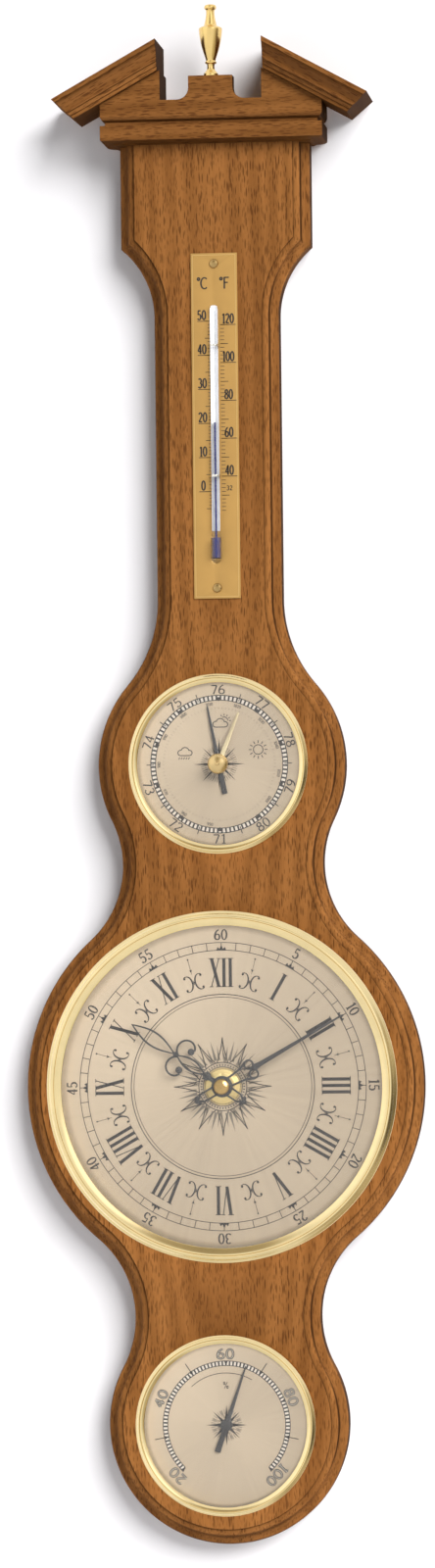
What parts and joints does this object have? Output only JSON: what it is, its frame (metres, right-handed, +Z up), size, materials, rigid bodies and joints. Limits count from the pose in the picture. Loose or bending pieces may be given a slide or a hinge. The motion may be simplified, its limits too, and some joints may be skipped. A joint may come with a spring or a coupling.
{
  "type": "analogue weather station",
  "caption": "Banjo-shaped wooden wall weather station with thermometer, barometer, clock and hygrometer under a broken pediment with a brass finial.",
  "frame": {"origin": "centre of the hanging hole, on the wall plane at the back of the hanger plate and pads", "axes": "+Z up along the board, +X to the right as seen from the front, +Y into the wall; the dials look along -Y"},
  "size_m": [0.1874, 0.0386, 0.7242],
  "materials": {
    "wood": "satin lacquer over brown stain",
    "dowel_wood": "raw",
    "polished_brass": "polished",
    "satin_brass": "satin",
    "sensor_strip": "satin",
    "dial": "champagne, finely brushed",
    "clear_glass": "clear",
    "blue_liquid": "dark blue liquid",
    "hand_black": "satin",
    "steel": "plated",
    "felt": "felt",
    "gasket_rubber": "matte",
    "black_plastic": "moulded",
    "pale_plastic": "moulded",
    "circuit_green": "solder mask",
    "battery_wrap": "plain wrap, no print"
  },
  "bodies": {
    "station": {"backboard": "wood", "cornice_moulding": "wood", "pediment_board": "wood", "left_rake_moulding": "wood", "right_rake_moulding": "wood", "pediment_dowels": "dowel_wood", "finial": "polished_brass", "finial_stud": "steel", "hanger_plate": "steel", "hanger_screws": "steel", "wall_pads": "felt", "thermometer_plate": "satin_brass", "thermometer_tube": "clear_glass", "thermometer_fill": "blue_liquid", "tube_clips": "steel", "plate_screws": "polished_brass", "barometer_bezel": "polished_brass", "barometer_glass": "clear_glass", "barometer_dial": "dial", "barometer_case": "steel", "instrument_gaskets": "gasket_rubber", "barometer_base_plate": "satin_brass", "aneroid_capsule": "steel", "capsule_spring": "steel", "arbor_bridge": "satin_brass", "hairspring": "steel", "clock_bezel": "polished_brass", "clock_glass": "clear_glass", "clock_dial": "dial", "clock_backplate": "steel", "backplate_screws": "steel", "movement_case": "black_plastic", "movement_cover": "black_plastic", "movement_nut": "polished_brass", "stator_coil": "steel", "circuit_board": "circuit_green", "battery_contacts": "steel", "hygrometer_bezel": "polished_brass", "hygrometer_glass": "clear_glass", "hygrometer_dial": "dial", "hygrometer_case": "steel", "hygrometer_bridge": "satin_brass", "hygroscopic_coil": "sensor_strip"},
    "minute": {"minute_arbor": "pale_plastic", "minute_hand": "hand_black", "hand_cap_nut": "polished_brass"},
    "hour": {"hour_wheel": "pale_plastic", "hour_hand": "hand_black"},
    "minute_wheel": {"minute_wheel": "pale_plastic"},
    "third_wheel": {"third_wheel": "pale_plastic"},
    "rotor": {"stepping_rotor": "steel"},
    "setting_knob": {"setting_knob": "pale_plastic"},
    "battery": {"battery": "battery_wrap"},
    "pressure_pointer": {"barometer_arbor": "steel", "barometer_pointer": "hand_black"},
    "rocker": {"rocker_lever": "steel"},
    "marker": {"marker_hand": "polished_brass", "marker_knob": "polished_brass"},
    "adjusting_screw": {"adjusting_screw": "polished_brass"},
    "humidity_pointer": {"hygrometer_pointer": "hand_black"}
  },
  "joints": [
    {"name": "minute_turn", "type": "hinge", "parent": "station", "child": "minute", "pos_m": [0, -0.022, -0.4173], "axis": [0, 1, 0], "continuous": true},
    {"name": "hour_turn", "type": "hinge", "parent": "station", "child": "hour", "pos_m": [0, -0.022, -0.4173], "axis": [0, 1, 0], "continuous": true},
    {"name": "minute_wheel_turn", "type": "hinge", "parent": "station", "child": "minute_wheel", "pos_m": [-0.01039, -0.022, -0.4113], "axis": [0, 1, 0], "continuous": true},
    {"name": "third_wheel_turn", "type": "hinge", "parent": "station", "child": "third_wheel", "pos_m": [0.00975, -0.022, -0.41047], "axis": [0, 1, 0], "continuous": true},
    {"name": "setting_knob_turn", "type": "hinge", "parent": "station", "child": "setting_knob", "pos_m": [-0.01144, -0.022, -0.39935], "axis": [0, 1, 0], "continuous": true},
    {"name": "rotor_turn", "type": "hinge", "parent": "station", "child": "rotor", "pos_m": [0.022, -0.022, -0.4123], "axis": [0, 1, 0], "continuous": true},
    {"name": "battery_out", "type": "slide", "parent": "station", "child": "battery", "axis": [0, 1, 0], "range_m": [0, 0.02]},
    {"name": "pressure_turn", "type": "hinge", "parent": "station", "child": "pressure_pointer", "pos_m": [0, -0.022, -0.266], "axis": [0, 1, 0], "range_deg": [-169.1, 154.9]},
    {"name": "rocker_tilt", "type": "hinge", "parent": "station", "child": "rocker", "pos_m": [0, -0.013, -0.285], "axis": [1, 0, 0], "range_deg": [-6.3, 5.8]},
    {"name": "marker_turn", "type": "hinge", "parent": "station", "child": "marker", "pos_m": [0, -0.022, -0.266], "axis": [0, 1, 0], "continuous": true},
    {"name": "adjusting_screw_turn", "type": "hinge", "parent": "station", "child": "adjusting_screw", "pos_m": [0, -0.022, -0.279], "axis": [0, 1, 0], "range_deg": [-360, 360]},
    {"name": "humidity_turn", "type": "hinge", "parent": "station", "child": "humidity_pointer", "pos_m": [0, -0.022, -0.5756], "axis": [0, 1, 0], "range_deg": [-154, 116]}
  ],
  "couplings": [
    {"joint": "hour_turn", "follows": "minute_turn", "ratio": 0.083333},
    {"joint": "minute_wheel_turn", "follows": "minute_turn", "ratio": -0.33333},
    {"joint": "third_wheel_turn", "follows": "minute_turn", "ratio": -7.5},
    {"joint": "setting_knob_turn", "follows": "minute_turn", "ratio": 1},
    {"joint": "rocker_tilt", "follows": "pressure_turn", "ratio": 0.037}
  ]
}
